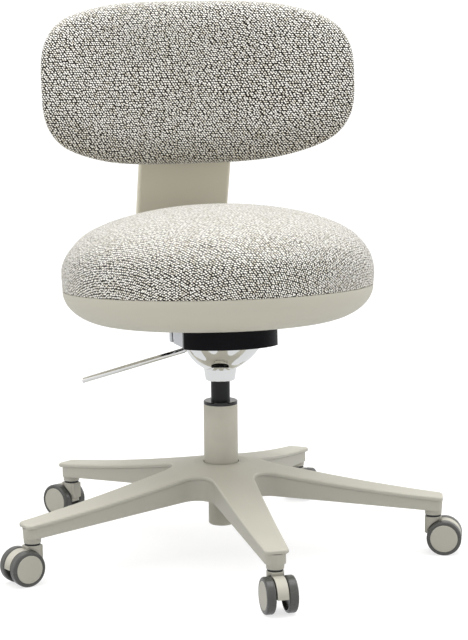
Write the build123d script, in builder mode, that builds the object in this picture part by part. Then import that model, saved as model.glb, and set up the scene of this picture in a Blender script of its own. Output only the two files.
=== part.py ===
from build123d import *
from math import cos, radians, sin, tan
import os

os.makedirs("parts", exist_ok=True)

# Adjustable swivel stool: a round upholstered seat and a low curved back on a
# gas lift, over a five-arm base with twin-wheel casters.
# Millimetres. The origin is on the column's axis at floor level, +Z is up and
# the sitter faces -Y.

# Clearances
running_fit = 0.05  # radial, a shaft in the hole it turns or slides in
tight_fit = 0.01  # radial, pieces pressed or wedged together
soft_gap = 0.3  # around a soft pad
moving_gap = 0.3  # between faces that turn past each other

# Casters
arm_count = 5
caster_circle_r = 311.7
trail = 16.5
wheel_r = 25.5
wheel_width = 13.0
wheel_edge = 3.0
wheel_gap = 1.0
wheel_clearance = 1.2
web_width = 16.0
hood_r = 25.0
hood_drop = 0.5
hood_wall = 2.4
hood_edge = 0.8
heel_rise = 6.0
neck_r = 12.0
neck_top = 54.8
neck_edge = 0.8
axle_r = 3.0
axle_boss_r = 6.5
axle_depth = 10.0
wheel_hub_r = 8.0
rim_depth = 4.0
rim_thickness = 4.0
cap_r = 20.2
cap_thickness = 2.4
cap_proud = 0.4
cap_edge = 1.2
stem_r = 5.5
stem_depth = 20.0
stem_top = 77.0
bush_wall = 1.7
bush_flange_r = 11.2
bush_flange_thickness = 2.7

# The way each caster trails, from the front arm round, seen from above
trail_angles = (-89.0, -21.0, 54.0, 128.0, 200.0)

# Star base
first_arm_angle = -90.0
arm_root_half_width = 35.0
arm_tip_half_width = 17.0
arm_end = 14.0
arm_corner_r = 8.0
arm_crotch_r = 30.0
wall_tip_r = 12.3
lip_thickness = 6.5
lip_edge = 3.0
lip_under_edge = 2.0
lip_overhang = 2.6
arm_wall = 3.4
rib_thickness = 2.6
rib_pitch = 52.0
first_rib = 84.0
hub_top = 134.4
hub_flat_r = 40.0
canopy_mid_share = 0.46  # of the arm's reach
canopy_mid_z = 112.0
tip_top = 86.0
root_bottom = 93.0
tip_bottom = 64.0
hub_r = 30.0
hub_bottom = 78.0
tip_boss_r = 12.1
tip_boss_draft = 4.0
tip_boss_bottom = 58.0

# Column and gas lift
column_r = 25.0
column_wall = 2.0
column_top = 221.0
column_shoulder_z = 114.0
column_gap = 1.2
taper_bottom_z = 80.0
taper_narrowing = 3.0
spigot_r = 19.3
spigot_wall = 3.5
spigot_bottom = 40.0
spigot_edge = 3.0
floor_rise = 4.0
floor_thickness = 3.0
collar_thickness = 4.8
collar_edge = 1.0
guide_length = 78.0
lift_r = 14.0
lift_wall = 2.0
lift_bottom = 83.0
lift_end_thickness = 10.0
lift_top = 317.0
lift_taper = 0.9
rod_r = 5.0
rod_end = 41.0
rod_top = 208.0
piston_thickness = 10.0
washer_thickness = 2.0
washer_r = 12.0
ball_r = 1.5
ball_count = 12
ball_circle_r = 9.0
shoulder_r = 7.0
shoulder_thickness = 4.0
buffer_thickness = 8.0
buffer_r = 11.0
clip_thickness = 1.2
clip_r = 8.5
clip_groove = 0.8
clip_mouth = 6.0
button_r = 3.0
button_rise = 4.9

# Seat, in its own plane: it leans back, so its front edge is the higher
seat_lean = 3.84
seat_centre_y = 11.2
mount_z = 342.86725  # underside of the pan, on the column's axis
seat_r = 228.5
crown_height = 87.7
crown_flat_r = 10.0
seam_drop = 31.2
seam_inset = 2.2
pan_depth = 82.0
pan_flat_r = 150.0
pan_wall = 3.0
board_thickness = 12.0
seat_screw_x = 79.0
seat_screw_front = 36.0
seat_screw_rear = 70.0

# Mechanism
plate_margin = 7.0
plate_thickness = 3.0
plate_rear = 88.0
cover_bow_r = 80.0
cover_apex = 108.0
cover_half_width = 69.0
cover_wall = 3.0
cover_corner_r = 2.5
cover_return = 8.0
channel_wall = 2.5
channel_rear = 46.0
channel_slot_y = 17.0
channel_slot_width = 13.0
box_depth = 27.8
floor_plate_thickness = 3.0
floor_notch_gap = 3.0
socket_wall = 4.0
socket_bottom = 259.5
socket_rise = 3.0
bell_bottom = 256.5
bell_wall = 2.0
bell_foot_r = 21.4
bell_waist_r = 24.0
bell_waist_z = 274.0
bell_mid_half_width = 43.0
bell_mid_half_depth = 37.0
bell_mid_z = 290.0
bell_mid_offset = 9.0
bell_mouth_half_width = 57.0
bell_mouth_half_depth = 44.0
bell_mouth_offset = 22.0
bell_edge = 2.0

# Lever
lever_r = 4.0
lever_reach = 201.0
lever_end_z = 261.7
lever_elbow_x = 47.0
lever_elbow_z = 299.0
lever_knee_x = 34.0
lever_y = 22.0
lever_bend_r = 9.0
lever_nose = 6.0
lever_edge = 1.0
lever_pivot_x = 18.0
block_width = 12.0
block_length = 10.0
trunnion_r = 2.5
ear_thickness = 2.0
ear_width = 12.0

# Back
arm_width = 144.0
arm_thickness = 14.0
arm_edge = 5.0
arm_front = 47.0
heel_clearance = 9.7  # behind the seam
belly_clearance = 44.7  # behind the seam
arm_belly_z = 423.0
arm_neck_drop = 104.0
arm_top_rise = 34.0
arm_heel_r = 55.0
arm_belly_r = 70.0
arm_neck_r = 80.0
back_y = 193.0
back_z = 679.0
back_lean = 4.64
back_half_width = 237.0
back_half_height = 123.5
back_squareness = 3.0
outline_points = 24
back_bow_r = 350.0
back_thickness = 54.0
back_edge = 20.0
back_board_thickness = 8.0
back_board_inset = 22.0
shell_thickness = 5.0
shell_inset = 14.0
pad_width = 110.0
pad_height = 80.0
pad_depth = 1.5

# Screws
screw_r = 3.0
screw_head_r = 5.5
screw_head_height = 3.5
screw_length = 16.0
screw_socket_r = 2.3
screw_socket_depth = 2.0
screw_grip = 5.0
arm_screw_x = 42.0
arm_screw_front = 58.0
arm_screw_rear = 80.0
back_screw_x = 36.0
back_screw_z = 24.0


def finish(part, name):
    """Label a finished piece and write it to its own file."""
    part.label = name
    export_step(part, f"parts/{name}.step")


# Star base: a domed lip over hollow, ribbed arms
arm_tip_r = caster_circle_r + arm_end
arm_angles = [first_arm_angle + 360 / arm_count * i for i in range(arm_count)]
lip_bottom_at_tip = tip_top - lip_thickness
canopy_mid_r = canopy_mid_share * arm_tip_r
# A section down the middle of the front arm
arm_section = Plane(origin=(0, 0, 0), x_dir=(0, -1, 0), z_dir=(-1, 0, 0))


def star_outline(inset, corner_r):
    """Plan of the five arms, drawn in by an inset, with rounded tips."""
    with BuildSketch() as outline:
        with PolarLocations(0, arm_count, start_angle=first_arm_angle):
            Polygon(
                (0, inset - arm_root_half_width),
                (arm_tip_r - inset, inset - arm_tip_half_width),
                (arm_tip_r - inset, arm_tip_half_width - inset),
                (0, arm_root_half_width - inset),
                align=None,
            )
        corners = outline.vertices().filter_by(
            lambda v: Vector(v.X, v.Y).length > caster_circle_r
        )
        fillet(corners, radius=corner_r)
        crotches = outline.vertices().sort_by_distance((0, 0))[:arm_count]
        fillet(crotches, radius=arm_crotch_r + inset)
    return outline.sketch


lip_plan = star_outline(0, arm_corner_r)
wall_plan = star_outline(lip_overhang, wall_tip_r)

with BuildSketch() as hollow_plan:
    add(wall_plan)
    offset(amount=-arm_wall, mode=Mode.REPLACE)
    Circle(hub_r, mode=Mode.SUBTRACT)
    with PolarLocations(caster_circle_r, arm_count, start_angle=first_arm_angle):
        Rectangle(2 * (tip_boss_r + tip_boss_draft), 4 * tip_boss_r, mode=Mode.SUBTRACT)
    rib_count = int((caster_circle_r - first_rib - tip_boss_r) / rib_pitch) + 1
    for i in range(rib_count):
        with PolarLocations(first_rib + i * rib_pitch, arm_count, start_angle=first_arm_angle):
            Rectangle(rib_thickness, 2 * arm_root_half_width, mode=Mode.SUBTRACT)

with BuildPart() as lip:
    with BuildSketch():
        add(lip_plan)
    extrude(amount=hub_top)
    with BuildSketch(arm_section):
        with BuildLine():
            Line((0, hub_top), (hub_flat_r, hub_top))
            ThreePointArc(
                (hub_flat_r, hub_top), (canopy_mid_r, canopy_mid_z), (arm_tip_r, tip_top)
            )
            Line((arm_tip_r, tip_top), (arm_tip_r, lip_bottom_at_tip))
            ThreePointArc(
                (arm_tip_r, lip_bottom_at_tip),
                (canopy_mid_r, canopy_mid_z - lip_thickness),
                (hub_flat_r, hub_top - lip_thickness),
            )
            Line((hub_flat_r, hub_top - lip_thickness), (0, hub_top - lip_thickness))
            Line((0, hub_top - lip_thickness), (0, hub_top))
        make_face()
    revolve(axis=Axis.Z, mode=Mode.INTERSECT)
    sides = lip.faces().filter_by(lambda f: abs(f.normal_at().Z) < 0.5)
    tops = lip.faces().filter_by(lambda f: f.normal_at().Z > 0.5)
    upper_rim = ShapeList(e for e in sides.edges() if e in tops.edges())
    fillet(upper_rim, radius=lip_edge)
    sides = lip.faces().filter_by(lambda f: abs(f.normal_at().Z) < 0.5)
    undersides = lip.faces().filter_by(lambda f: f.normal_at().Z < -0.5)
    lower_rim = ShapeList(e for e in sides.edges() if e in undersides.edges())
    fillet(lower_rim, radius=lip_under_edge)

# The walls reach half-way up into the lip.
lip_sunk = lip_thickness / 2

with BuildPart() as walls:
    with BuildSketch():
        add(wall_plan)
        add(hollow_plan.sketch, mode=Mode.SUBTRACT)
    extrude(amount=hub_top)
    with BuildSketch(arm_section):
        with BuildLine():
            Line((0, hub_top - lip_sunk), (hub_flat_r, hub_top - lip_sunk))
            ThreePointArc(
                (hub_flat_r, hub_top - lip_sunk),
                (canopy_mid_r, canopy_mid_z - lip_sunk),
                (arm_tip_r, tip_top - lip_sunk),
            )
            Polyline(
                (arm_tip_r, tip_top - lip_sunk),
                (arm_tip_r, tip_bottom),
                (hub_flat_r, root_bottom),
                (0, root_bottom),
                (0, hub_top - lip_sunk),
            )
        make_face()
    revolve(axis=Axis.Z, mode=Mode.INTERSECT)

with BuildPart() as star_base:
    add(lip.part)
    add(walls.part)
    with BuildSketch(Plane.XY.offset(hub_bottom)):
        Circle(hub_r)
    extrude(amount=hub_top - lip_thickness - hub_bottom)
    with BuildSketch(Plane.XY.offset(tip_boss_bottom)):
        with PolarLocations(caster_circle_r, arm_count, start_angle=first_arm_angle):
            Circle(tip_boss_r)
    extrude(amount=lip_bottom_at_tip - tip_boss_bottom, taper=-tip_boss_draft)
    with BuildSketch(Plane.XY.offset(tip_boss_bottom)):
        with PolarLocations(caster_circle_r, arm_count, start_angle=first_arm_angle):
            Circle(stem_r + bush_wall + running_fit)
    extrude(amount=stem_top + moving_gap - tip_boss_bottom, mode=Mode.SUBTRACT)
    with BuildSketch(Plane.XZ):
        Polygon(
            (0, hub_top + lip_edge),
            (column_r + column_gap, hub_top + lip_edge),
            (column_r + column_gap, column_shoulder_z),
            (column_r + tight_fit, column_shoulder_z),
            (column_r + tight_fit - taper_narrowing, taper_bottom_z),
            (spigot_r + running_fit, taper_bottom_z),
            (spigot_r + running_fit, hub_bottom),
            (0, hub_bottom),
            align=None,
        )
    revolve(axis=Axis.Z, mode=Mode.SUBTRACT)
finish(star_base.part, "star_base")

with BuildPart() as stem_bushes:
    with BuildSketch(Plane.XY.offset(tip_boss_bottom)):
        with PolarLocations(caster_circle_r, arm_count, start_angle=first_arm_angle):
            Circle(stem_r + bush_wall + running_fit - tight_fit)
    extrude(amount=stem_top - tip_boss_bottom)
    with BuildSketch(Plane.XY.offset(tip_boss_bottom)):
        with PolarLocations(caster_circle_r, arm_count, start_angle=first_arm_angle):
            Circle(bush_flange_r)
    extrude(amount=-bush_flange_thickness)
    with BuildSketch(Plane.XY.offset(tip_boss_bottom - bush_flange_thickness)):
        with PolarLocations(caster_circle_r, arm_count, start_angle=first_arm_angle):
            Circle(stem_r + running_fit)
    extrude(amount=stem_top + bush_flange_thickness - tip_boss_bottom, mode=Mode.SUBTRACT)
finish(stem_bushes.part, "stem_bushes")


# Column and gas lift
spigot_bore = spigot_r - spigot_wall
floor_bottom = spigot_bottom + floor_rise
floor_top = floor_bottom + floor_thickness

with BuildPart() as column_tube:
    with BuildSketch(Plane.XZ):
        Polygon(
            (column_r, column_top),
            (column_r, column_shoulder_z),
            (column_r - taper_narrowing, taper_bottom_z),
            (spigot_r, taper_bottom_z),
            (spigot_r, spigot_bottom),
            (spigot_bore, spigot_bottom),
            (spigot_bore, floor_bottom),
            (rod_r + moving_gap, floor_bottom),
            (rod_r + moving_gap, floor_top),
            (spigot_bore, floor_top),
            (spigot_bore, taper_bottom_z),
            (column_r - taper_narrowing - column_wall, taper_bottom_z + column_wall),
            (column_r - column_wall, column_shoulder_z),
            (column_r - column_wall, column_top),
            align=None,
        )
    revolve(axis=Axis.Z)
    bottom_rim = column_tube.edges().group_by(Axis.Z)[0].sort_by(SortBy.RADIUS)[-1]
    fillet(bottom_rim, radius=spigot_edge)
finish(column_tube.part, "column_tube")

with BuildPart() as guide_bush:
    with BuildSketch(Plane.XY.offset(column_top - guide_length)):
        Circle(column_r - column_wall - tight_fit)
    extrude(amount=guide_length)
    with BuildSketch(Plane.XY.offset(column_top)):
        Circle(column_r)
    extrude(amount=collar_thickness)
    chamfer(guide_bush.edges().group_by(Axis.Z)[-1], length=collar_edge)
    with BuildSketch(Plane.XY.offset(column_top - guide_length)):
        Circle(lift_r + running_fit)
    extrude(amount=guide_length + collar_thickness, mode=Mode.SUBTRACT)
finish(guide_bush.part, "guide_bush")

race_top = floor_top + washer_thickness
ball_top = race_top + 2 * (ball_r + tight_fit)
shoulder_z = ball_top + washer_thickness
buffer_z = shoulder_z + shoulder_thickness
groove_z = floor_bottom - clip_thickness - moving_gap

with BuildPart() as thrust_bearing:
    with BuildSketch(Plane.XY.offset(floor_top)):
        Circle(washer_r)
        Circle(rod_r + moving_gap, mode=Mode.SUBTRACT)
    extrude(amount=washer_thickness)
    with PolarLocations(ball_circle_r, ball_count):
        with Locations((0, 0, race_top + ball_r + tight_fit)):
            Sphere(ball_r)
finish(thrust_bearing.part, "thrust_bearing")

with BuildPart() as upper_washer:
    with BuildSketch(Plane.XY.offset(ball_top)):
        Circle(washer_r)
        Circle(rod_r + tight_fit, mode=Mode.SUBTRACT)
    extrude(amount=washer_thickness)
finish(upper_washer.part, "upper_washer")

with BuildPart() as piston_rod:
    with BuildSketch(Plane.XY.offset(rod_end)):
        Circle(rod_r)
    extrude(amount=rod_top - rod_end)
    with BuildSketch(Plane.XY.offset(shoulder_z)):
        Circle(shoulder_r)
    extrude(amount=shoulder_thickness)
    with BuildSketch(Plane.XY.offset(rod_top - piston_thickness)):
        Circle(lift_r - lift_wall - running_fit)
    extrude(amount=piston_thickness)
    with BuildSketch(Plane.XY.offset(groove_z)):
        Circle(rod_r)
        Circle(rod_r - clip_groove, mode=Mode.SUBTRACT)
    extrude(amount=clip_thickness, mode=Mode.SUBTRACT)
finish(piston_rod.part, "piston_rod")

with BuildPart() as retaining_clip:
    with BuildSketch(Plane.XY.offset(groove_z)):
        Circle(clip_r)
        Circle(rod_r - clip_groove + tight_fit, mode=Mode.SUBTRACT)
        Rectangle(2 * clip_r, clip_mouth, align=(Align.MIN, Align.CENTER), mode=Mode.SUBTRACT)
    extrude(amount=clip_thickness)
finish(retaining_clip.part, "retaining_clip")

with BuildPart() as rod_buffer:
    with BuildSketch(Plane.XY.offset(buffer_z)):
        Circle(buffer_r)
        Circle(rod_r + tight_fit, mode=Mode.SUBTRACT)
    extrude(amount=buffer_thickness)
finish(rod_buffer.part, "rod_buffer")

with BuildPart() as pressure_tube:
    with BuildSketch(Plane.XZ):
        Polygon(
            (rod_r + running_fit, lift_bottom),
            (lift_r, lift_bottom),
            (lift_r, socket_bottom),
            (lift_r - lift_taper, lift_top),
            (button_r + running_fit, lift_top),
            (button_r + running_fit, lift_top - lift_end_thickness),
            (lift_r - lift_wall, lift_top - lift_end_thickness),
            (lift_r - lift_wall, lift_bottom + lift_end_thickness),
            (rod_r + running_fit, lift_bottom + lift_end_thickness),
            align=None,
        )
    revolve(axis=Axis.Z)
finish(pressure_tube.part, "pressure_tube")

with BuildPart() as release_button:
    with BuildSketch(Plane.XY.offset(lift_top + button_rise)):
        Circle(button_r)
    extrude(amount=tight_fit - button_rise - lift_end_thickness)
finish(release_button.part, "release_button")


def section(frame):
    """Half-section plane of a frame: x outward, y along the frame's own axis."""
    return Plane(origin=frame.origin, x_dir=frame.x_dir, z_dir=-frame.y_dir)


# Planes that lean back with the seat: one on the seat's girth, and one under
# the pan with its origin on the column's axis.
lean = radians(seat_lean)
lean_dir = (0, sin(lean), cos(lean))
seat_girth_z = mount_z + pan_depth / cos(lean) - seat_centre_y * tan(lean)
seat = Plane(origin=(0, seat_centre_y, seat_girth_z), x_dir=(1, 0, 0), z_dir=lean_dir)
seam_r = seat_r - seam_inset
mount = Plane(origin=(0, 0, mount_z), x_dir=(1, 0, 0), z_dir=lean_dir)
plate_bottom = mount.offset(-plate_thickness)
box_bottom = mount.offset(-plate_thickness - box_depth)
channel_half_width = cover_half_width - cover_wall
cover_centre_y = cover_bow_r - cover_apex
plate_r = cover_bow_r + plate_margin
seat_screw_spots = [
    (x, y) for x in (-seat_screw_x, seat_screw_x) for y in (-seat_screw_front, seat_screw_rear)
]
arm_screw_spots = [
    (x, y) for x in (-arm_screw_x, arm_screw_x) for y in (arm_screw_front, arm_screw_rear)
]

# The lever rocks on a block whose trunnions turn in two ears of the channel.
lever_z = lift_top + button_rise + lever_r + 2 * running_fit
block_height = 2 * lever_r + 2
ear_span = block_width / 2 + moving_gap + ear_thickness
ear_spots = [lever_y + side * (ear_span - ear_thickness / 2) for side in (-1, 1)]
trunnion_plane = Plane(
    origin=(-lever_pivot_x, lever_y, lever_z), x_dir=(1, 0, 0), z_dir=(0, -1, 0)
)

# Mechanism
with BuildPart() as top_plate:
    with BuildSketch(mount):
        with Locations((0, cover_centre_y)):
            Circle(plate_r)
            Rectangle(2 * plate_r, plate_rear - cover_centre_y, align=(Align.CENTER, Align.MIN))
        with Locations(*seat_screw_spots, *arm_screw_spots):
            Circle(screw_r + moving_gap, mode=Mode.SUBTRACT)
    extrude(amount=-plate_thickness)
finish(top_plate.part, "top_plate")

with BuildPart() as mechanism_cover:
    with BuildSketch(plate_bottom):
        with Locations((0, cover_centre_y)):
            Circle(cover_bow_r)
            Circle(cover_bow_r - cover_wall, mode=Mode.SUBTRACT)
        corner_y = cover_centre_y - (cover_bow_r**2 - cover_half_width**2) ** 0.5
        with Locations((0, corner_y + cover_wall)):
            Rectangle(
                2 * cover_half_width,
                2 * cover_bow_r,
                align=(Align.CENTER, Align.MAX),
                mode=Mode.INTERSECT,
            )
        with Locations((-cover_half_width, corner_y), (cover_half_width - cover_wall, corner_y)):
            Rectangle(cover_wall, cover_return, align=(Align.MIN, Align.MIN))
    extrude(amount=-box_depth)
    outer_corners = mechanism_cover.edges().filter_by(
        lambda e: e.length > box_depth / 2 and abs(abs(e.center().X) - cover_half_width) < tight_fit
    )
    front_corners = outer_corners.group_by(Axis.Y)[0]
    fillet(front_corners, radius=cover_corner_r)
finish(mechanism_cover.part, "mechanism_cover")

with BuildPart() as mechanism_channel:
    with BuildSketch(plate_bottom):
        with Locations((0, corner_y + cover_wall)):
            Rectangle(
                2 * (channel_half_width - tight_fit),
                channel_rear - corner_y - cover_wall,
                align=(Align.CENTER, Align.MIN),
            )
    extrude(amount=-box_depth)
    with BuildSketch(plate_bottom.offset(-channel_wall)):
        Rectangle(2 * (channel_half_width - channel_wall), 4 * plate_rear)
    extrude(amount=-box_depth, mode=Mode.SUBTRACT)
    with BuildSketch(plate_bottom.offset(-channel_wall)):
        with Locations((0, channel_slot_y)):
            Rectangle(4 * cover_half_width, channel_slot_width, align=(Align.CENTER, Align.MIN))
    extrude(amount=-box_depth, mode=Mode.SUBTRACT)
    with BuildSketch(Plane.XY.offset(lever_z - ear_width / 2)):
        with Locations(*[(-lever_pivot_x, y) for y in ear_spots]):
            Rectangle(ear_width, ear_thickness)
    extrude(until=Until.NEXT)
    with BuildSketch(trunnion_plane):
        Circle(trunnion_r + running_fit)
    extrude(amount=ear_span, both=True, mode=Mode.SUBTRACT)
finish(mechanism_channel.part, "mechanism_channel")

with BuildPart() as floor_plate:
    with BuildSketch(box_bottom):
        with Locations((0, cover_centre_y)):
            Circle(cover_bow_r - cover_wall - tight_fit)
            Rectangle(2 * cover_bow_r, channel_rear - cover_centre_y, align=(Align.CENTER, Align.MIN))
        floor_half_width = channel_half_width - channel_wall - tight_fit
        Rectangle(2 * floor_half_width, 2 * cover_apex, mode=Mode.INTERSECT)
        with Locations((-channel_half_width, lever_y)):
            Rectangle(
                channel_half_width - lever_knee_x + lever_bend_r,
                2 * (lever_r + floor_notch_gap),
                align=(Align.MIN, Align.CENTER),
                mode=Mode.SUBTRACT,
            )
    extrude(amount=floor_plate_thickness)
    with BuildSketch(Plane.XY.offset(socket_bottom)):
        Circle(lift_r + socket_wall + tight_fit)
    extrude(amount=mount_z - socket_bottom, mode=Mode.SUBTRACT)
finish(floor_plate.part, "floor_plate")

# The socket's bore narrows with the lift's own taper.
socket_top = mount_z - plate_thickness - box_depth + floor_plate_thickness + socket_rise
socket_narrowing = lift_taper * (socket_top - socket_bottom) / (lift_top - socket_bottom)

with BuildPart() as taper_socket:
    with BuildSketch(Plane.XZ):
        Polygon(
            (lift_r + tight_fit, socket_bottom),
            (lift_r + socket_wall, socket_bottom),
            (lift_r + socket_wall, socket_top),
            (lift_r - socket_narrowing + tight_fit, socket_top),
            align=None,
        )
    revolve(axis=Axis.Z)
finish(taper_socket.part, "taper_socket")

bell_sections = []
for inset in (0, bell_wall):
    with BuildPart() as flare:
        with BuildSketch(Plane.XY.offset(bell_waist_z)):
            Circle(bell_waist_r - inset)
        with BuildSketch(Plane.XY.offset(bell_mid_z)):
            with Locations((0, -bell_mid_offset)):
                Ellipse(bell_mid_half_width - inset, bell_mid_half_depth - inset)
        with BuildSketch(box_bottom):
            with Locations((0, -bell_mouth_offset)):
                Ellipse(bell_mouth_half_width - inset, bell_mouth_half_depth - inset)
        loft()
    bell_sections.append(flare.part)

with BuildPart() as bell_cover:
    add(bell_sections[0])
    with BuildSketch(Plane.XZ):
        Polygon(
            (0, bell_bottom),
            (bell_foot_r, bell_bottom),
            (bell_waist_r, bell_waist_z),
            (0, bell_waist_z),
            align=None,
        )
    revolve(axis=Axis.Z)
    foot_rim = bell_cover.edges().group_by(Axis.Z)[0]
    fillet(foot_rim, radius=bell_edge)
    add(bell_sections[1], mode=Mode.SUBTRACT)
    with BuildSketch(Plane.XZ):
        Polygon(
            (0, bell_bottom + bell_wall),
            (bell_foot_r - bell_wall, bell_bottom + bell_wall),
            (bell_waist_r - bell_wall, bell_waist_z),
            (0, bell_waist_z),
            align=None,
        )
    revolve(axis=Axis.Z, mode=Mode.SUBTRACT)
    with BuildSketch(Plane.XY.offset(bell_bottom)):
        Circle(lift_r + running_fit)
    extrude(amount=2 * bell_wall, mode=Mode.SUBTRACT)
finish(bell_cover.part, "bell_cover")

# Lever
with BuildPart() as lever:
    with BuildLine() as lever_path:
        FilletPolyline(
            (-lever_reach, lever_y, lever_end_z),
            (-lever_elbow_x, lever_y, lever_elbow_z),
            (-lever_knee_x, lever_y, lever_z),
            (0, lever_y, lever_z),
            (0, -lever_nose, lever_z),
            radius=lever_bend_r,
        )
    with BuildSketch(Plane(origin=lever_path.line @ 0, z_dir=lever_path.line % 0)):
        Circle(lever_r)
    sweep(path=lever_path.line)
    fillet(lever.edges().group_by(Axis.X)[0], radius=lever_edge)
finish(lever.part, "lever")

with BuildPart() as lever_block:
    with BuildSketch(Plane(origin=trunnion_plane.origin)):
        Rectangle(block_length, block_width)
    extrude(amount=block_height / 2, both=True)
    with BuildSketch(trunnion_plane):
        Circle(trunnion_r)
    extrude(amount=ear_span, both=True)
    with BuildSketch(Plane(origin=trunnion_plane.origin, z_dir=(1, 0, 0))):
        Circle(lever_r + tight_fit)
    extrude(amount=block_length, both=True, mode=Mode.SUBTRACT)
finish(lever_block.part, "lever_block")

# Seat
with BuildPart() as seat_pan:
    with BuildSketch(section(seat)):
        with BuildLine():
            Line((0, -pan_depth), (pan_flat_r, -pan_depth))
            EllipticalCenterArc(
                (pan_flat_r, -seam_drop),
                seam_r - pan_flat_r,
                pan_depth - seam_drop,
                start_angle=-90,
                arc_size=90,
            )
            Line((seam_r, -seam_drop), (seam_r - pan_wall, -seam_drop))
            EllipticalCenterArc(
                (pan_flat_r, -seam_drop),
                seam_r - pan_flat_r - pan_wall,
                pan_depth - seam_drop - pan_wall,
                start_angle=-90,
                arc_size=90,
            )
            Line((pan_flat_r, pan_wall - pan_depth), (0, pan_wall - pan_depth))
            Line((0, pan_wall - pan_depth), (0, -pan_depth))
        make_face()
    revolve(axis=Axis(seat.origin, seat.z_dir))
    with BuildSketch(mount):
        with Locations(*seat_screw_spots, *arm_screw_spots):
            Circle(screw_r + moving_gap)
    extrude(amount=pan_wall, mode=Mode.SUBTRACT)
finish(seat_pan.part, "seat_pan")

with BuildPart() as seat_board:
    with BuildSketch(seat.offset(pan_wall - pan_depth)):
        Circle(pan_flat_r)
    extrude(amount=board_thickness)
    with BuildSketch(mount):
        with Locations(*seat_screw_spots, *arm_screw_spots):
            Circle(screw_r + tight_fit)
    extrude(amount=pan_wall + board_thickness, mode=Mode.SUBTRACT)
finish(seat_board.part, "seat_board")

with BuildPart() as seat_cushion:
    with BuildSketch(section(seat)):
        with BuildLine():
            EllipticalCenterArc(
                (crown_flat_r, 0),
                seat_r - crown_flat_r,
                crown_height,
                start_angle=0,
                arc_size=90,
            )
            Line((crown_flat_r, crown_height), (0, crown_height))
            Line((0, crown_height), (0, soft_gap + pan_wall + board_thickness - pan_depth))
            Line(
                (0, soft_gap + pan_wall + board_thickness - pan_depth),
                (pan_flat_r + soft_gap, soft_gap + pan_wall + board_thickness - pan_depth),
            )
            Line(
                (pan_flat_r + soft_gap, soft_gap + pan_wall + board_thickness - pan_depth),
                (pan_flat_r + soft_gap, soft_gap + pan_wall - pan_depth),
            )
            EllipticalCenterArc(
                (pan_flat_r + soft_gap, -seam_drop),
                seam_r - pan_flat_r - pan_wall - 2 * soft_gap,
                pan_depth - seam_drop - pan_wall - soft_gap,
                start_angle=-90,
                arc_size=90,
            )
            Line(
                (seam_r - pan_wall - soft_gap, -seam_drop),
                (seam_r - pan_wall - soft_gap, soft_gap - seam_drop),
            )
            Line((seam_r - pan_wall - soft_gap, soft_gap - seam_drop), (seam_r, soft_gap - seam_drop))
            ThreePointArc(
                (seam_r, soft_gap - seam_drop),
                (seat_r - seam_inset / 4, -seam_drop / 2),
                (seat_r, 0),
            )
        make_face()
    revolve(axis=Axis(seat.origin, seat.z_dir))
finish(seat_cushion.part, "seat_cushion")

# Back
back_tilt = radians(back_lean)
back = Plane(origin=(0, back_y, back_z), x_dir=(1, 0, 0), z_dir=(0, sin(back_tilt), cos(back_tilt)))
back_face = section(back)
foam_front_r = back_bow_r - back_thickness / 2
shell_rear_r = back_bow_r + back_thickness / 2
board_rear_r = shell_rear_r - shell_thickness
board_front_r = board_rear_r - back_board_thickness
reach = 2 * back_half_height
pad_face = Plane(
    origin=back.from_local_coords((0, shell_rear_r - back_bow_r + pad_depth, 0)),
    x_dir=(1, 0, 0),
    z_dir=-back.y_dir,
)
back_screw_spots = [
    (x, y) for x in (-back_screw_x, back_screw_x) for y in (-back_screw_z, back_screw_z)
]


def back_points(inset):
    """Points of the back's rounded outline, drawn in by an inset."""
    points = []
    for i in range(outline_points):
        angle = radians(360 / outline_points * i)
        width = back_half_width - inset
        height = back_half_height - inset
        power = back_squareness
        spread = (abs(cos(angle)) ** power + abs(sin(angle)) ** power) ** (-1 / power)
        points.append((width * spread * cos(angle), height * spread * sin(angle)))
    return points


with BuildPart() as back_board:
    with BuildSketch(back_face):
        with BuildLine():
            Spline(*back_points(back_board_inset), periodic=True)
        make_face()
    extrude(amount=reach / 2, both=True)
    with BuildSketch(back.offset(-reach)):
        with Locations((0, -back_bow_r)):
            Circle(board_rear_r)
            Circle(board_front_r, mode=Mode.SUBTRACT)
    extrude(amount=2 * reach, mode=Mode.INTERSECT)
    with BuildSketch(pad_face):
        with Locations(*back_screw_spots):
            Circle(screw_r + tight_fit)
    extrude(amount=2 * screw_length, mode=Mode.SUBTRACT)
finish(back_board.part, "back_board")

with BuildPart() as board_pocket:
    with BuildSketch(back_face):
        with BuildLine():
            Spline(*back_points(back_board_inset - soft_gap), periodic=True)
        make_face()
    extrude(amount=reach / 2, both=True)
    with BuildSketch(back.offset(-reach)):
        with Locations((0, -back_bow_r)):
            Circle(shell_rear_r)
            Circle(board_front_r - soft_gap, mode=Mode.SUBTRACT)
    extrude(amount=2 * reach, mode=Mode.INTERSECT)

with BuildPart() as back_cushion:
    with BuildSketch(back_face):
        with BuildLine():
            Spline(*back_points(0), periodic=True)
        make_face()
    extrude(amount=reach / 2, both=True)
    with BuildSketch(back.offset(-reach)):
        with Locations((0, -back_bow_r)):
            Circle(board_rear_r - soft_gap)
            Circle(foam_front_r, mode=Mode.SUBTRACT)
    extrude(amount=2 * reach, mode=Mode.INTERSECT)
    front_rim = back_cushion.edges().filter_by(lambda e: e.length > reach).sort_by(Axis.Y)[0]
    fillet(front_rim, radius=back_edge)
    add(board_pocket.part, mode=Mode.SUBTRACT)
finish(back_cushion.part, "back_cushion")

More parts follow.
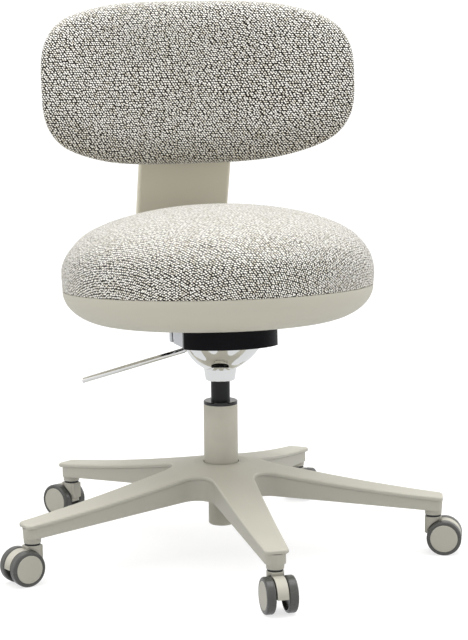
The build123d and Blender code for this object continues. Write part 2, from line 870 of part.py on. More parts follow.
with BuildPart() as back_shell:
    with BuildSketch(back_face):
        with BuildLine():
            Spline(*back_points(shell_inset), periodic=True)
        make_face()
    extrude(amount=reach / 2, both=True)
    with BuildSketch(back.offset(-reach)):
        with Locations((0, -back_bow_r)):
            Circle(shell_rear_r)
            Circle(board_rear_r, mode=Mode.SUBTRACT)
    extrude(amount=2 * reach, mode=Mode.INTERSECT)
    with BuildSketch(pad_face):
        RectangleRounded(pad_width, pad_height, arm_edge)
    extrude(until=Until.NEXT)
    with BuildSketch(pad_face):
        with Locations(*back_screw_spots):
            Circle(screw_r + moving_gap)
    extrude(amount=pad_depth + 2 * shell_thickness, mode=Mode.SUBTRACT)
finish(back_shell.part, "back_shell")

# Back arm: a flat strap that runs out under the seat and bends up behind it
arm_middle = plate_thickness + arm_thickness / 2
arm_rear = shell_rear_r - back_bow_r + pad_depth + arm_thickness / 2

with BuildPart() as back_arm:
    with BuildLine() as arm_path:
        FilletPolyline(
            mount.from_local_coords((0, arm_front, -arm_middle)),
            mount.from_local_coords((0, seam_r + heel_clearance, -arm_middle)),
            (0, seam_r + belly_clearance, arm_belly_z),
            back.from_local_coords((0, arm_rear, -arm_neck_drop)),
            back.from_local_coords((0, arm_rear, arm_top_rise)),
            radius=(arm_heel_r, arm_belly_r, arm_neck_r),
        )
    with BuildSketch(Plane(origin=arm_path.line @ 0, x_dir=(1, 0, 0), z_dir=arm_path.line % 0)):
        RectangleRounded(arm_width, arm_thickness, arm_edge)
    sweep(path=arm_path.line)
    with BuildSketch(plate_bottom):
        with Locations(*arm_screw_spots):
            Circle(screw_r + moving_gap)
    extrude(amount=-arm_thickness, mode=Mode.SUBTRACT)
    with BuildSketch(plate_bottom.offset(-screw_grip)):
        with Locations(*arm_screw_spots):
            Circle(screw_head_r + moving_gap)
    extrude(amount=-arm_thickness, mode=Mode.SUBTRACT)
    with BuildSketch(pad_face):
        with Locations(*back_screw_spots):
            Circle(screw_r + moving_gap)
    extrude(amount=-arm_thickness, mode=Mode.SUBTRACT)
    with BuildSketch(pad_face.offset(-screw_grip)):
        with Locations(*back_screw_spots):
            Circle(screw_head_r + moving_gap)
    extrude(amount=-arm_thickness, mode=Mode.SUBTRACT)
finish(back_arm.part, "back_arm")

# Screws: four hold the seat, four the arm under it and four the back
with BuildPart() as frame_screws:
    for head_plane, spots in (
        (plate_bottom, seat_screw_spots),
        (plate_bottom.offset(-screw_grip), arm_screw_spots),
        (pad_face.offset(-screw_grip), back_screw_spots),
    ):
        with BuildSketch(head_plane):
            with Locations(*spots):
                Circle(screw_head_r)
        extrude(amount=-screw_head_height)
        with BuildSketch(head_plane):
            with Locations(*spots):
                Circle(screw_r)
        extrude(amount=screw_length)
        with BuildSketch(head_plane.offset(-screw_head_height)):
            with Locations(*spots):
                RegularPolygon(screw_socket_r, 6)
        extrude(amount=screw_socket_depth, mode=Mode.SUBTRACT)
finish(frame_screws.part, "frame_screws")


# Casters
def make_caster(number, arm_angle, trail_angle):
    """Write one twin-wheel caster, trailing towards an angle seen from above."""
    stem_x = caster_circle_r * cos(radians(arm_angle))
    stem_y = caster_circle_r * sin(radians(arm_angle))
    trail_dir = (cos(radians(trail_angle)), sin(radians(trail_angle)), 0)
    stem = Plane(origin=(stem_x, stem_y, 0), x_dir=trail_dir, z_dir=(0, 0, 1))
    side = section(Plane(origin=stem.from_local_coords((trail, 0, wheel_r)), x_dir=trail_dir))

    with BuildPart() as housing:
        with BuildSketch(side):
            Circle(hood_r)
            with Locations((0, -hood_drop)):
                Rectangle(
                    2 * wheel_r, wheel_r, align=(Align.CENTER, Align.MAX), mode=Mode.SUBTRACT
                )
            Polygon(
                (-trail - neck_r, neck_top - wheel_r),
                (-trail - neck_r, heel_rise),
                (-trail, -hood_drop),
                (-trail + neck_r, 0),
                (-trail + neck_r, neck_top - wheel_r),
                align=None,
            )
            Circle(axle_boss_r)
        extrude(amount=web_width / 2, both=True)
        hood_rims = housing.edges().filter_by(
            lambda e: e.geom_type == GeomType.CIRCLE and abs(e.radius - hood_r) < tight_fit
        )
        fillet(hood_rims, radius=hood_edge)
        with BuildSketch(stem.offset(wheel_r + heel_rise)):
            Circle(neck_r)
        extrude(amount=neck_top - wheel_r - heel_rise)
        fillet(housing.edges().group_by(Axis.Z)[-1], radius=neck_edge)
        for hand in (-1, 1):
            with BuildSketch(side.offset(hand * web_width / 2)):
                Circle(wheel_r + wheel_clearance)
            extrude(amount=hand * neck_r, mode=Mode.SUBTRACT)
        with BuildSketch(side):
            Circle(hood_r - hood_wall)
            Circle(axle_boss_r, mode=Mode.SUBTRACT)
            Rectangle(
                2 * wheel_r, 2 * wheel_r, align=(Align.MAX, Align.CENTER), mode=Mode.SUBTRACT
            )
        extrude(amount=web_width / 2 - hood_wall, both=True, mode=Mode.SUBTRACT)
        with BuildSketch(side):
            Circle(axle_r + tight_fit)
        extrude(amount=web_width, both=True, mode=Mode.SUBTRACT)
        with BuildSketch(stem.offset(neck_top)):
            Circle(stem_r + tight_fit)
        extrude(amount=-stem_depth, mode=Mode.SUBTRACT)
    finish(housing.part, f"caster_{number}_housing")

    with BuildPart() as pins:
        with BuildSketch(side):
            Circle(axle_r)
        extrude(amount=web_width / 2 + wheel_gap + axle_depth, both=True)
        with BuildSketch(stem.offset(neck_top - stem_depth)):
            Circle(stem_r)
        extrude(amount=stem_top + stem_depth - neck_top)
    finish(pins.part, f"caster_{number}_pins")

    for hand_name, hand in (("left", 1), ("right", -1)):
        inner = side.offset(hand * (web_width / 2 + wheel_gap))
        hub = Plane(origin=inner.origin, x_dir=trail_dir, z_dir=inner.z_dir * hand)
        cap_seat = wheel_width + cap_proud - cap_thickness

        with BuildPart() as wheel:
            with BuildSketch(hub):
                Circle(wheel_r)
            extrude(amount=wheel_width)
            fillet(wheel.edges(), radius=wheel_edge)
            with BuildSketch(hub):
                Circle(wheel_r - rim_thickness)
                Circle(wheel_hub_r, mode=Mode.SUBTRACT)
            extrude(amount=rim_depth, mode=Mode.SUBTRACT)
            with BuildSketch(hub.offset(cap_seat)):
                Circle(cap_r + tight_fit)
            extrude(amount=wheel_width, mode=Mode.SUBTRACT)
            with BuildSketch(hub):
                Circle(axle_r + running_fit)
            extrude(amount=wheel_width, mode=Mode.SUBTRACT)
        finish(wheel.part, f"caster_{number}_wheel_{hand_name}")

        with BuildPart() as cap:
            with BuildSketch(hub.offset(cap_seat)):
                Circle(cap_r)
            extrude(amount=cap_thickness)
            rims = cap.edges().filter_by(GeomType.CIRCLE)
            fillet(rims.sort_by_distance(hub.offset(wheel_r).origin)[0], radius=cap_edge)
        finish(cap.part, f"caster_{number}_cap_{hand_name}")


for i in range(arm_count):
    make_caster(i + 1, arm_angles[i], trail_angles[i])
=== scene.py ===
from math import cos, pi, radians, sin

import bpy
import numpy as np
from mathutils import Matrix, Vector
from mathutils.kdtree import KDTree


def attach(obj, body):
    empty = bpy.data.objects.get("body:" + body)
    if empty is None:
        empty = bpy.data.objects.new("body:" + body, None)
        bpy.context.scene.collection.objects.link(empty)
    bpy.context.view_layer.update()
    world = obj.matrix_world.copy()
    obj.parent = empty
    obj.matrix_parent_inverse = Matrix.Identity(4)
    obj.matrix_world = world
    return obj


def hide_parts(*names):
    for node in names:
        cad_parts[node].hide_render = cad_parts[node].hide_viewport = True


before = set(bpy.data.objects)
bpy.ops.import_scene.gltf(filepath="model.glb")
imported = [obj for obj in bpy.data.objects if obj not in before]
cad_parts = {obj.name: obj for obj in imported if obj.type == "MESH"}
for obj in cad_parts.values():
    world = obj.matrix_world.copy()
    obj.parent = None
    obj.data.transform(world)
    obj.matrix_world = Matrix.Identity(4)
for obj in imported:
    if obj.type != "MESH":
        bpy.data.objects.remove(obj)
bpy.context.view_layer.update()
print("frame loaded,", len(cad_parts), "nodes")


# camera: a long lens just above the back's height, to the sitter's right
viewpoint = {
    "eye": (-0.710, -3.035, 0.8735),
    "turn": -13.17,
    "dip": 9.58,
    "roll": -0.60,
    "lens": 121.96,
    "shift": (0.0222, -0.0028),
    "farthest": 500,
}


def placeCamera(view):
    data = bpy.data.cameras.new("viewCamera")
    data.lens = view["lens"]
    data.shift_x, data.shift_y = view["shift"]
    data.clip_end = view["farthest"]
    camera = bpy.data.objects.new("viewCamera", data)
    spin = Matrix.Rotation(radians(view["turn"]), 4, "Z")
    tilt = Matrix.Rotation(radians(90 - view["dip"]), 4, "X")
    lean = Matrix.Rotation(radians(view["roll"]), 4, "Z")
    camera.matrix_world = Matrix.Translation(view["eye"]) @ spin @ tilt @ lean
    bpy.context.scene.collection.objects.link(camera)
    bpy.context.scene.camera = camera


placeCamera(viewpoint)
print("camera placed")


# a wire is one socket that can be used in ordinary arithmetic
class Wire:
    def __init__(self, finish, socket):
        self.finish = finish
        self.socket = socket

    def math(self, operation, *others):
        values = dict(enumerate((self, *others)))
        return self.finish.node("Math", {"operation": operation}, values)

    def mathAfter(self, operation, first):
        return self.finish.node("Math", {"operation": operation}, {0: first, 1: self})

    def __add__(self, other):
        return self.math("ADD", other)

    def __radd__(self, other):
        return self.mathAfter("ADD", other)

    def __sub__(self, other):
        return self.math("SUBTRACT", other)

    def __rsub__(self, other):
        return self.mathAfter("SUBTRACT", other)

    def __mul__(self, other):
        return self.math("MULTIPLY", other)

    def __rmul__(self, other):
        return self.mathAfter("MULTIPLY", other)

    def __truediv__(self, other):
        return self.math("DIVIDE", other)

    def __rtruediv__(self, other):
        return self.mathAfter("DIVIDE", other)

    def __pow__(self, other):
        return self.math("POWER", other)

    def __rpow__(self, other):
        return self.mathAfter("POWER", other)

    def floor(self):
        return self.math("FLOOR")

    def fraction(self):
        return self.math("FRACT")

    def size(self):
        return self.math("ABSOLUTE")

    # 0 at the first limit, 1 at the second, smooth between them
    def within(self, first, second):
        values = {"Value": self, "From Min": first, "From Max": second}
        return self.finish.node("MapRange", {"interpolation_type": "SMOOTHSTEP"}, values)


# a finish is one material or world, built node by node
class Finish:
    def __init__(self, name, store=bpy.data.materials):
        self.material = store.new(name)
        self.material.use_nodes = True
        self.tree = self.material.node_tree
        self.tree.nodes.clear()

    def node(self, kind, settings=None, values=None, out=0):
        made = self.tree.nodes.new("ShaderNode" + kind)
        for key, value in (settings or {}).items():
            setattr(made, key, value)
        for key, value in (values or {}).items():
            self.feed(made.inputs[key], value)
        if made.outputs:
            return Wire(self, made.outputs[out])

    def feed(self, socket, value):
        if isinstance(value, Wire):
            self.tree.links.new(value.socket, socket)
        elif socket.type == "RGBA":
            socket.default_value = (*value[:3], 1.0)
        else:
            socket.default_value = value

    # colours are mixed here, because a Math node would turn them grey
    def tint(self, share, first, second):
        return self.node("Mix", {"data_type": "RGBA"}, {0: share, 6: first, 7: second}, 2)

    def vector(self, operation, *values):
        return self.node("VectorMath", {"operation": operation}, dict(enumerate(values)))

    def parts(self, vector):
        first = self.node("SeparateXYZ", None, {0: vector})
        return [Wire(self, socket) for socket in first.socket.node.outputs]

    def joined(self, x, y, z):
        return self.node("CombineXYZ", None, {0: x, 1: y, 2: z})

    def place(self, kind="Object"):
        return self.node("TexCoord", None, None, kind)

    # how far a surface faces up: 1 level, 0 upright, -1 from below
    def facing(self):
        return self.parts(self.node("NewGeometry", None, None, "Normal"))[2]

    def ray(self, *kinds):
        shares = [self.node("LightPath", None, None, kind) for kind in kinds]
        return sum(shares[1:], shares[0])

    def noise(self, where, scale, detail=3.0, out="Fac"):
        return self.node("TexNoise", None, {"Vector": where, "Scale": scale, "Detail": detail}, out)

    def bump(self, height, distance, strength=1.0):
        values = {"Height": height, "Distance": distance, "Strength": strength}
        return self.node("Bump", None, values, "Normal")

    # how open a spot is: 0 deep in a crease, 1 out in the light
    def openness(self, reach, samples=8):
        return self.node("AmbientOcclusion", {"samples": samples}, {"Distance": reach}, "AO")

    def ends(self, shader, kind="OutputMaterial"):
        self.node(kind, None, {"Surface": shader})
        return self.material

    def surface(self, **sockets):
        values = {key.replace("_", " "): value for key, value in sockets.items()}
        return self.ends(self.node("BsdfPrincipled", None, values))


def shaded(colour, share):
    return tuple(part * share for part in colour)


# moulded plastic: cloudy and finely grained, with painted shade that darkens its upright faces and
# its creases
moulded = {
    "patchScale": 9.0,
    "patchRange": (0.3, 0.7),
    "patchShare": 0.35,
    "patchShade": 0.88,
    "grainScale": 1400.0,
    "grainDetail": 2.0,
    "grainShare": 0.12,
    "grainHeight": 0.00006,
    "grainStrength": 0.6,
    # painted shade: upright faces are painted darker than those facing up, as if less lit
    "paintedSideShadeRange": (0.8, 0.1),  # from facing up to upright
    "paintedSideShade": 0.72,
    # painted shade: creases, where the ambient occlusion is low, are painted darker
    "paintedCreaseShadeReach": 0.014,
    "paintedCreaseShadeRange": (0.75, 0.15),
    "paintedCreaseShade": 0.30,
    "rough": 0.42,
    "patchRough": 0.06,
    "grainRough": 0.05,
    "refraction": 1.49,
}


def makeMoulded(name, light, look):
    finish = Finish(name)
    where = finish.place()
    patches = finish.noise(where, look["patchScale"]).within(*look["patchRange"])
    grain = finish.noise(where, look["grainScale"], look["grainDetail"])
    mottling = patches * look["patchShare"] + grain * look["grainShare"]
    mottled = finish.tint(mottling, light, shaded(light, look["patchShade"]))
    # painted shade: upright faces painted darker than faces turned up
    paintedSideShadeMask = finish.facing().within(*look["paintedSideShadeRange"])
    withPaintedSideShade = finish.tint(paintedSideShadeMask, mottled, shaded(light, look["paintedSideShade"]))
    # painted shade in creases, found by ambient occlusion
    paintedCreaseShadeMask = finish.openness(look["paintedCreaseShadeReach"]).within(*look["paintedCreaseShadeRange"])
    return finish.surface(
        Base_Color=finish.tint(paintedCreaseShadeMask, withPaintedSideShade, shaded(light, look["paintedCreaseShade"])),
        Roughness=look["rough"] + patches * look["patchRough"] + grain * look["grainRough"],
        Normal=finish.bump(grain, look["grainHeight"], look["grainStrength"]),
        IOR=look["refraction"],
    )


weave = {
    "across": 0.0043,  # a loop and its gap along a row
    "along": 0.0030,  # from row to row
    "stagger": 0.5,
    "wander": 0.0018,
    "wanderScale": 170.0,
    "jitter": 0.42,
    "slant": 0.35,
    "loopRange": (0.59, 0.74),
    "loopUneven": 0.26,
    "yarn": (0.965, 0.948, 0.895),
    # a darker yarn colour, used for loops darker at random and for painted shade where the cloth
    # faces down
    "darkerYarn": (0.640, 0.580, 0.440),
    "wornRange": (0.5, 0.0),
    "wornShare": 0.6,
    # painted shade: cloth facing down is painted toward the darker yarn colour
    "paintedUnderShadeRange": (0.2, -0.9),
    "paintedUnderShadeShare": 0.5,
    # the near-black gap colour is partly the dark yarn of the cloth and partly painted shade in the
    # crevices between loops
    "gap": (0.007, 0.005, 0.003),
    "gapLeast": 0.01,  # how much yarn shows in a gap
    # painted light: the gaps are painted paler where the cloth faces up, as if lit from above
    "gapLit": 0.30,  # and how much more where the cloth faces up
    "litRange": (0.42, 1.0),
    "relief": 0.0014,
    "reliefUneven": 0.3,
    "fuzz": 0.15,
    "fuzzScale": 2600.0,
    "fuzzDetail": 2.0,
    "rough": 0.92,
    "sheen": 0.5,
    "sheenRough": 0.45,
    "sheenTint": (1.0, 0.98, 0.94),
    "shine": 0.10,
}


# staggered rows of looped yarn; the near-black gaps between are partly dark yarn and partly painted
# shade, painted paler where the cloth faces up as if lit from above, and cloth facing down gets
# painted shade
def makeWeave(name, look):
    finish = Finish(name)
    flat = finish.node("Attribute", {"attribute_name": "weaveMap"}, None, "Vector")
    drift = finish.noise(flat, look["wanderScale"], out="Color")
    centred = finish.vector("SUBTRACT", drift, (0.5, 0.5, 0.5))
    shift = finish.vector("MULTIPLY", centred, (look["wander"], look["wander"], 0.0))
    across, along, _ = finish.parts(finish.vector("ADD", flat, shift))
    row = (along / look["along"]).floor()
    column = across / look["across"] + row * look["stagger"]
    cell = finish.joined(column.floor(), row, 0.0)
    dice = finish.node("TexWhiteNoise", {"noise_dimensions": "2D"}, {"Vector": cell}, "Color")
    aside, raised, chance = finish.parts(dice)
    x = (column.fraction() - 0.5 + (aside - 0.5) * look["jitter"]) * 2.0
    y = ((along / look["along"]).fraction() - 0.5 + (raised - 0.5) * look["jitter"]) * 2.0
    slanted = y + x * look["slant"]
    fromMiddle = (x ** 2.0 + slanted ** 2.0) ** 0.5
    inner, outer = look["loopRange"]
    loop = 1.0 - fromMiddle.within(inner, outer + look["loopUneven"] * chance)
    up = finish.facing()
    darkerYarn = chance.within(*look["wornRange"]) * look["wornShare"]
    # painted shade on cloth facing down
    paintedUnderShade = up.within(*look["paintedUnderShadeRange"]) * look["paintedUnderShadeShare"]
    shade = finish.tint(darkerYarn + paintedUnderShade, look["yarn"], look["darkerYarn"])
    # painted light: gaps painted paler where the cloth faces up; gapLeast is the yarn that shows in
    # every gap
    filled = look["gapLeast"] + up.within(*look["litRange"]) * look["gapLit"]
    fuzz = finish.noise(flat, look["fuzzScale"], look["fuzzDetail"]) * look["fuzz"]
    height = loop * (1.0 - look["reliefUneven"] + chance * look["reliefUneven"]) + fuzz
    return finish.surface(
        Base_Color=finish.tint(loop + (1.0 - loop) * filled, look["gap"], shade),
        Roughness=look["rough"],
        Normal=finish.bump(height, look["relief"]),
        Sheen_Weight=look["sheen"],
        Sheen_Roughness=look["sheenRough"],
        Sheen_Tint=look["sheenTint"],
        Specular_IOR_Level=look["shine"],
    )


# a smooth coat of paint, plastic or rubber, with a faint orange peel
coat = {
    "peelScale": 900.0,
    "peelDetail": 2.0,
    "peelStrength": 0.5,
    "patchScale": 12.0,
    "patchRange": (0.35, 0.65),
    "patchShare": 0.3,
    "patchRough": 0.05,
    "paler": 1.6,
    "lift": 0.004,
}


def makeCoat(name, colour, rough, peelHeight, shine, look):
    finish = Finish(name)
    where = finish.place()
    peel = finish.noise(where, look["peelScale"], look["peelDetail"])
    patches = finish.noise(where, look["patchScale"]).within(*look["patchRange"])
    paler = tuple(part * look["paler"] + look["lift"] for part in colour)
    return finish.surface(
        Base_Color=finish.tint(patches * look["patchShare"], colour, paler),
        Roughness=rough + patches * look["patchRough"],
        Normal=finish.bump(peel, peelHeight, look["peelStrength"]),
        Specular_IOR_Level=shine,
    )


# bare or plated metal, with fine lines round it where it is streaked
metal = {
    "lineScale": (3.0, 3.0, 900.0),
    "lineDetail": 2.0,
    "lineRough": 0.3,
    "patchScale": 25.0,
    "patchRange": (0.3, 0.7),
    "patchShare": 0.25,
    "duller": 0.82,
}


def makeMetal(name, colour, rough, streaks, look):
    finish = Finish(name)
    where = finish.place()
    stretched = finish.vector("MULTIPLY", where, look["lineScale"])
    lines = finish.noise(stretched, 1.0, look["lineDetail"]) * streaks
    patches = finish.noise(where, look["patchScale"]).within(*look["patchRange"])
    dull = patches * look["patchShare"] + lines
    return finish.surface(
        Base_Color=finish.tint(dull, colour, shaded(colour, look["duller"])),
        Roughness=rough + lines * look["lineRough"],
        Metallic=1.0,
    )


plywood = {
    "ringScale": 18.0,
    "ringBend": 6.0,
    "dark": (0.52, 0.36, 0.20),
    "pale": (0.66, 0.49, 0.30),
    "rough": 0.6,
    "ringRough": 0.1,
}


def makePlywood(name, look):
    finish = Finish(name)
    values = {"Vector": finish.place(), "Scale": look["ringScale"], "Distortion": look["ringBend"]}
    rings = finish.node("TexWave", {"wave_type": "RINGS"}, values, "Fac")
    return finish.surface(
        Base_Color=finish.tint(rings, look["dark"], look["pale"]),
        Roughness=look["rough"] + rings * look["ringRough"],
    )


mouldings = {
    "basePlastic": (0.485, 0.470, 0.403),
    "panPlastic": (0.570, 0.548, 0.458),
    # partly real cream and partly painted light: the strap's cream is painted paler to make up for
    # the shade the back cushion casts on it, and the back shell wears it too
    "strapPlasticPaintedPaler": (0.800, 0.755, 0.610),
}

# colour, roughness, height of the orange peel, shine
coats = {
    "creamEnamel": ((0.365, 0.349, 0.293), 0.36, 0.00003, 0.5),
    "blackEnamel": ((0.003, 0.003, 0.004), 0.12, 0.00002, 0.08),
    "blackPlastic": ((0.004, 0.004, 0.004), 0.10, 0.00002, 0.55),
    "tubeEnamel": ((0.012, 0.012, 0.013), 0.16, 0.00003, 0.20),
    "treadGrey": ((0.052, 0.053, 0.049), 0.24, 0.00005, 0.5),
    "bufferRubber": ((0.012, 0.012, 0.012), 0.7, 0.0001, 0.5),
}

# colour, roughness, streaks
metals = {
    "machinedSteel": ((0.62, 0.62, 0.63), 0.28, 0.3),
    "zincSheet": ((0.70, 0.71, 0.73), 0.38, 0.25),
    "polishedChrome": ((0.90, 0.90, 0.89), 0.04, 0.0),
}


def casterNodes(*kinds):
    return [f"caster_{number}_{kind}" for number in range(1, 6) for kind in kinds]


wornBy = {
    "basePlastic": ["star_base", *casterNodes("housing", "cap_left", "cap_right")],
    "panPlastic": ["seat_pan"],
    "strapPlasticPaintedPaler": ["back_arm", "back_shell"],
    "creamEnamel": ["column_tube"],
    "blackEnamel": ["top_plate", "mechanism_cover", "floor_plate"],
    "blackPlastic": ["stem_bushes", "guide_bush", "lever_block"],
    "tubeEnamel": ["pressure_tube"],
    "treadGrey": casterNodes("wheel_left", "wheel_right"),
    "bufferRubber": ["rod_buffer"],
    "machinedSteel": [
        "thrust_bearing",
        "upper_washer",
        "retaining_clip",
        "piston_rod",
        "release_button",
        "taper_socket",
        "frame_screws",
        *casterNodes("pins"),
    ],
    "zincSheet": ["mechanism_channel"],
    "polishedChrome": ["bell_cover", "lever"],
    "birchPly": ["seat_board", "back_board"],
}


def dressFrame():
    finishes = {"birchPly": makePlywood("birchPly", plywood)}
    for name, light in mouldings.items():
        finishes[name] = makeMoulded(name, light, moulded)
    for name, look in coats.items():
        finishes[name] = makeCoat(name, *look, coat)
    for name, look in metals.items():
        finishes[name] = makeMetal(name, *look, metal)
    for name, nodes in wornBy.items():
        for node in nodes:
            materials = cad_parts[node].data.materials
            materials.clear()
            materials.append(finishes[name])


dressFrame()
print("frame dressed")


# a closed cover from rings of points, which narrow to one point at either end
def buildCover(name, points, flat, finish):
    ringCount, spokes = points.shape[:2]
    verts = [tuple(points[0].mean(axis=0))]
    weaveMap = [(0.0, 0.0, 0.0)]
    for ring in range(1, ringCount - 1):
        verts += [tuple(point) for point in points[ring]]
        weaveMap += [(across, along, 0.0) for across, along in flat[ring]]
    verts.append(tuple(points[-1].mean(axis=0)))
    weaveMap.append((0.0, 0.0, 0.0))
    lastVert = len(verts) - 1
    lastRing = lastVert - spokes
    faces = []
    for spoke in range(spokes):
        following = (spoke + 1) % spokes
        faces.append((0, 1 + spoke, 1 + following))
        for inner in range(1, lastRing, spokes):
            outer = inner + spokes
            faces.append((inner + spoke, outer + spoke, outer + following, inner + following))
        faces.append((lastRing + spoke, lastVert, lastRing + following))
    mesh = bpy.data.meshes.new(name)
    mesh.from_pydata(verts, [], faces)
    mesh.attributes.new("weaveMap", "FLOAT_VECTOR", "POINT")
    mesh.attributes["weaveMap"].data.foreach_set("vector", np.array(weaveMap, np.float32).ravel())
    mesh.polygons.foreach_set("use_smooth", [True] * len(faces))
    mesh.materials.append(finish)
    piece = bpy.data.objects.new(name, mesh)
    bpy.context.scene.collection.objects.link(piece)
    return piece


# how far the cloth runs over the surface from the middle, laid out flat
def layFlat(points, headings):
    steps = np.linalg.norm(np.diff(points, axis=0), axis=2)
    walked = np.vstack([np.zeros(points.shape[1]), np.cumsum(steps, axis=0)])
    return walked[:, :, None] * headings[None, :, :]


# a cushion leans back about its middle
def leanOf(shape):
    return np.array(Matrix.Rotation(-radians(shape["lean"]), 3, "X"))


def leaned(points, shape):
    return points @ leanOf(shape).T + shape["middle"]


def upright(points, shape):
    return (points - shape["middle"]) @ leanOf(shape)


def turnsOf(shape):
    return np.arange(shape["spokes"]) * 2 * pi / shape["spokes"]


filling = {
    "voxel": 0.006,  # size of the cloth's mesh
    "pressure": 4.0,
    "stiffness": 40.0,
    "frames": 16,
    "most": 0.003,  # how far a point may move
    "least": 1e-9,  # spares a still point a division by zero
    "near": 6,  # how many points of the cloth each point of the cover follows
    "soften": 0.0015,  # added to each distance, so that no point counts alone
}


def readPoints(mesh):
    flat = np.empty(len(mesh.vertices) * 3, np.float32)
    mesh.vertices.foreach_get("co", flat)
    return flat.reshape(-1, 3).astype(float)


def evaluated(thing):
    return thing.evaluated_get(bpy.context.evaluated_depsgraph_get())


def addCloth(puffed, isSewn, settings):
    sewn = puffed.vertex_groups.new(name="sewn")
    sewn.add(np.flatnonzero(isSewn).tolist(), 1.0, "REPLACE")
    cloth = puffed.modifiers.new("cloth", "CLOTH")
    cloth.settings.use_pressure = True
    cloth.settings.uniform_pressure_force = settings["pressure"]
    cloth.settings.tension_stiffness = settings["stiffness"]
    cloth.settings.compression_stiffness = settings["stiffness"]
    cloth.settings.effector_weights.gravity = 0
    cloth.settings.vertex_group_mass = sewn.name
    cloth.point_cache.frame_end = settings["frames"]


# each point of the cover moves with the points of the cloth that lie nearest to it
def follow(piece, start, moved, settings):
    tree = KDTree(len(start))
    for index, point in enumerate(start):
        tree.insert(point, index)
    tree.balance()
    points = readPoints(piece.data)
    for index, point in enumerate(points):
        near = tree.find_n(point, settings["near"])
        weights = np.array([1 / (distance + settings["soften"]) for _, _, distance in near])
        points[index] += weights @ moved[[found for _, found, _ in near]] / weights.sum()
    piece.data.vertices.foreach_set("co", points.astype(np.float32).ravel())
    piece.data.update()


# an evenly meshed copy of the cover is blown up as cloth, held where it is sewn down
def fillCover(piece, settings, sewnAt):
    scene = bpy.context.scene
    puffed = bpy.data.objects.new("puffed", piece.data.copy())
    scene.collection.objects.link(puffed)
    remesh = puffed.modifiers.new("remesh", "REMESH")
    remesh.mode = "VOXEL"
    remesh.voxel_size = settings["voxel"]
    even = bpy.data.meshes.new_from_object(evaluated(puffed))
    puffed.modifiers.clear()
    puffed.data = even
    start = readPoints(even)
    addCloth(puffed, sewnAt(start), settings)
    for step in range(1, settings["frames"] + 1):
        scene.frame_set(step)
    moved = readPoints(evaluated(puffed).data) - start
    far = np.linalg.norm(moved, axis=1)
    print(piece.name, "filled, moved", far.mean().round(5), "on average, at most", far.max().round(5))
    moved *= np.minimum(1, settings["most"] / np.maximum(far, settings["least"]))[:, None]
    scene.frame_set(1)
    bpy.data.objects.remove(puffed)
    follow(piece, start, moved, settings)


seatShape = {
    "middle": (0.0, 0.0112, 0.4243),  # centre of the girth, its widest ring
    "lean": 3.84,
    "radius": 0.2285,
    "crown": 0.0858,  # height over the girth
    "hemDrop": 0.0312,  # depth below it
    "hemRadius": 0.2263,
    "hemCurve": 1.6,
    "roll": 0.0016,  # radius of the edge where the cover turns under
    "tuck": 0.012,  # how far it is folded under
    "sewn": 0.006,  # height of the band above the hem that is held
    "spokes": 240,
    "ringsOver": 90,
    "ringsSide": 8,
    "ringsRoll": 4,
}


# half of the seat's section, from the top of the crown round to the middle underneath
def seatProfile(shape):
    radius, hemRadius = shape["radius"], shape["hemRadius"]
    drop, roll = shape["hemDrop"], shape["roll"]
    quarter = np.linspace(0, pi / 2, shape["ringsOver"])
    profile = [(radius * sin(angle), shape["crown"] * cos(angle)) for angle in quarter]
    for share in np.linspace(0, 1, shape["ringsSide"] + 1)[1:]:
        side = radius - (radius - hemRadius) * share ** shape["hemCurve"]
        profile.append((side, -share * (drop - roll)))
    for angle in np.linspace(0, pi / 2, shape["ringsRoll"] + 1)[1:]:
        profile.append((hemRadius - roll * (1 - cos(angle)), -drop + roll * (1 - sin(angle))))
    profile.append((hemRadius - shape["tuck"], -drop))
    profile.append((0.0, -drop))
    return np.array(profile)


def makeSeatCushion(shape, finish):
    turn = turnsOf(shape)
    headings = np.stack([np.cos(turn), np.sin(turn)], axis=1)
    profile = seatProfile(shape)
    points = np.zeros((len(profile), shape["spokes"], 3))
    points[:, :, :2] = profile[:, 0][:, None, None] * headings[None]
    points[:, :, 2] = profile[:, 1][:, None]
    flat = layFlat(points, headings)
    piece = buildCover("seatCushion", leaned(points, shape), flat, finish)
    hem = -shape["hemDrop"] + shape["sewn"]
    fillCover(piece, filling, lambda spots: upright(spots, shape)[:, 2] < hem)
    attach(piece, "seat")
    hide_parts("seat_cushion")


backShape = {
    "middle": (0.0, 0.193, 0.679),
    "lean": 4.64,
    "halfWidth": 0.2345,  # straight across, as seen from the front
    "halfHeight": 0.1256,
    "squareness": 3.15,  # 2 would be an ellipse
    "bow": 0.350,  # radius of the bend round the sitter
    "front": 0.0245,
    "rear": 0.0217,
    "faceRound": 7.0,
    "edgeRound": 2.1,
    "sewn": 0.014,  # depth of the band at the rear that is held
    "spokes": 280,
    "ringsFront": 70,
    "ringsRear": 40,
    "ringSpread": 1.8,
}


# share of the way to the rim, and height above the middle surface, from front to rear
def backProfile(shape):
    layers = []
    sides = ((shape["ringsFront"], shape["front"]), (shape["ringsRear"], -shape["rear"]))
    for count, depth in sides:
        share = 1 - (1 - np.linspace(0, 1, count)) ** shape["ringSpread"]
        swell = (1 - share ** shape["faceRound"]) ** (1 / shape["edgeRound"]) * depth
        layers.append(np.stack([share, swell], axis=1))
    return np.vstack([layers[0], layers[1][::-1][1:]])


# a rounded rectangle seen from the front
def backRim(shape):
    turn = turnsOf(shape)
    power = shape["squareness"]
    spread = (np.abs(np.cos(turn)) ** power + np.abs(np.sin(turn)) ** power) ** (-1 / power)
    x = shape["halfWidth"] * spread * np.cos(turn)
    z = shape["halfHeight"] * spread * np.sin(turn)
    return np.stack([x, z], axis=1)


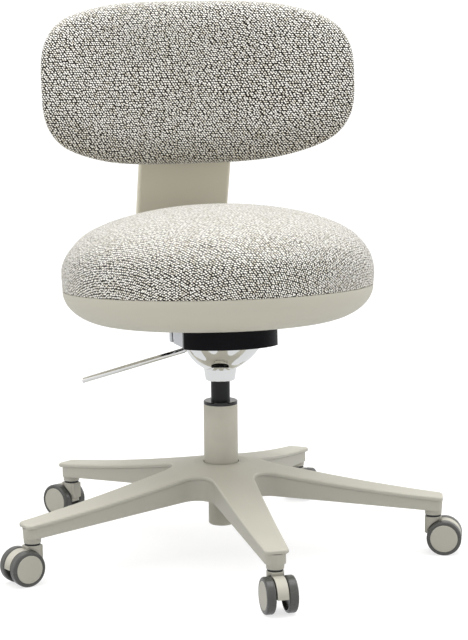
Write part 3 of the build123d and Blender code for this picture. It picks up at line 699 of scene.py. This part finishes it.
def makeBackCushion(shape, finish):
    bow = shape["bow"]
    rim = backRim(shape)
    profile = backProfile(shape)
    share, swell = profile[:, 0][:, None], profile[:, 1][:, None]
    bend = np.arcsin(np.clip(share * rim[None, :, 0] / bow, -1, 1))
    x = (bow - swell) * np.sin(bend)
    y = (bow - swell) * np.cos(bend) - bow
    z = share * rim[None, :, 1]
    points = np.stack([x, y, z], axis=2)
    headings = np.stack([bow * np.arcsin(rim[:, 0] / bow), rim[:, 1]], axis=1)
    headings /= np.linalg.norm(headings, axis=1)[:, None]
    flat = layFlat(points, headings)
    piece = buildCover("backCushion", leaned(points, shape), flat, finish)
    hem = shape["rear"] - shape["sewn"]
    fillCover(piece, filling, lambda spots: upright(spots, shape)[:, 1] > hem)
    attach(piece, "seat")
    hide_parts("back_cushion")


cover = makeWeave("loopedWeave", weave)
makeSeatCushion(seatShape, cover)
makeBackCushion(backShape, cover)
print("cushions covered")


# studio: a white floor and background in even light, with more from above and the sides
studio = {
    "floorSize": 120.0,
    "floorColour": (0.86, 0.86, 0.86),
    "floorShade": (0.42, 0.42, 0.42),
    "floorGlow": 0.68,
    "floorTint": (0.97, 0.985, 1.0),
    "floorMirrored": 0.80,
    "white": (1.0, 1.0, 1.0),
    "skyTint": (1.0, 0.995, 0.98),
    "dimmest": 0.80,
    "fromAbove": 0.28,
    "aboveRange": (-0.1, 0.9),
    "fromSides": 0.22,
    "sidesRange": (0.35, 1.0),
    "fromBehind": 0.05,
    "behindRange": (0.0, 1.0),
    "lampAim": (0.0, 0.0, 0.4),
    "lamps": [  # name, place, size, watts
        ("topLamp", (0.0, -0.1, 2.7), (2.6, 2.2), 42.0),
        ("leftLamp", (-2.4, -0.3, 1.3), (1.4, 2.0), 6.0),
        ("rightLamp", (2.4, -0.1, 1.3), (1.4, 2.0), 11.0),
    ],
}


# to the camera the floor glows, with a faint shadow, and in reflections it is one pale tone
def makeFloorFinish(look):
    finish = Finish("floorWhite")
    matt = finish.node("BsdfDiffuse", None, {"Color": look["floorColour"]})
    shade = finish.node("BsdfDiffuse", None, {"Color": look["floorShade"]})
    white = {"Color": look["white"], "Strength": look["floorGlow"]}
    seen = finish.node("AddShader", None, {0: shade, 1: finish.node("Emission", None, white)})
    pale = {"Color": look["floorTint"], "Strength": look["floorMirrored"]}
    mirrored = finish.node("Emission", None, pale)
    unseen = finish.node("MixShader", None, {0: finish.ray("Is Glossy Ray"), 1: matt, 2: mirrored})
    both = finish.node("MixShader", None, {0: finish.ray("Is Camera Ray"), 1: unseen, 2: seen})
    return finish.ends(both)


def layFloor(look):
    mesh = bpy.data.meshes.new("floor")
    half = look["floorSize"] / 2
    corners = [(-half, -half, 0), (half, -half, 0), (half, half, 0), (-half, half, 0)]
    mesh.from_pydata(corners, [], [(0, 1, 2, 3)])
    mesh.materials.append(makeFloorFinish(look))
    floor = bpy.data.objects.new("floor", mesh)
    bpy.context.scene.collection.objects.link(floor)


def lightSky(look):
    finish = Finish("studioWorld", bpy.data.worlds)
    x, y, z = finish.parts(finish.place("Generated"))
    above = z.within(*look["aboveRange"]) * look["fromAbove"]
    sides = x.size().within(*look["sidesRange"]) * look["fromSides"]
    behind = y.within(*look["behindRange"]) * look["fromBehind"]
    strength = above + sides + behind + look["dimmest"]
    soft = finish.node("Background", None, {"Color": look["skyTint"], "Strength": strength})
    white = finish.node("Background", None, {"Color": look["white"], "Strength": 1.0})
    seen = finish.ray("Is Camera Ray", "Is Transmission Ray")
    both = finish.node("MixShader", None, {0: seen, 1: soft, 2: white})
    bpy.context.scene.world = finish.ends(both, "OutputWorld")


def hangLamps(look):
    for name, place, size, watts in look["lamps"]:
        lamp = bpy.data.lights.new(name, "AREA")
        lamp.shape = "RECTANGLE"
        lamp.size, lamp.size_y = size
        lamp.energy = watts
        item = bpy.data.objects.new(name, lamp)
        item.location = place
        aim = Vector(look["lampAim"]) - Vector(place)
        item.rotation_euler = aim.to_track_quat("-Z", "Y").to_euler()
        bpy.context.scene.collection.objects.link(item)


layFloor(studio)
lightSky(studio)
hangLamps(studio)
bpy.context.scene.view_settings.view_transform = "Standard"
print("studio lit")
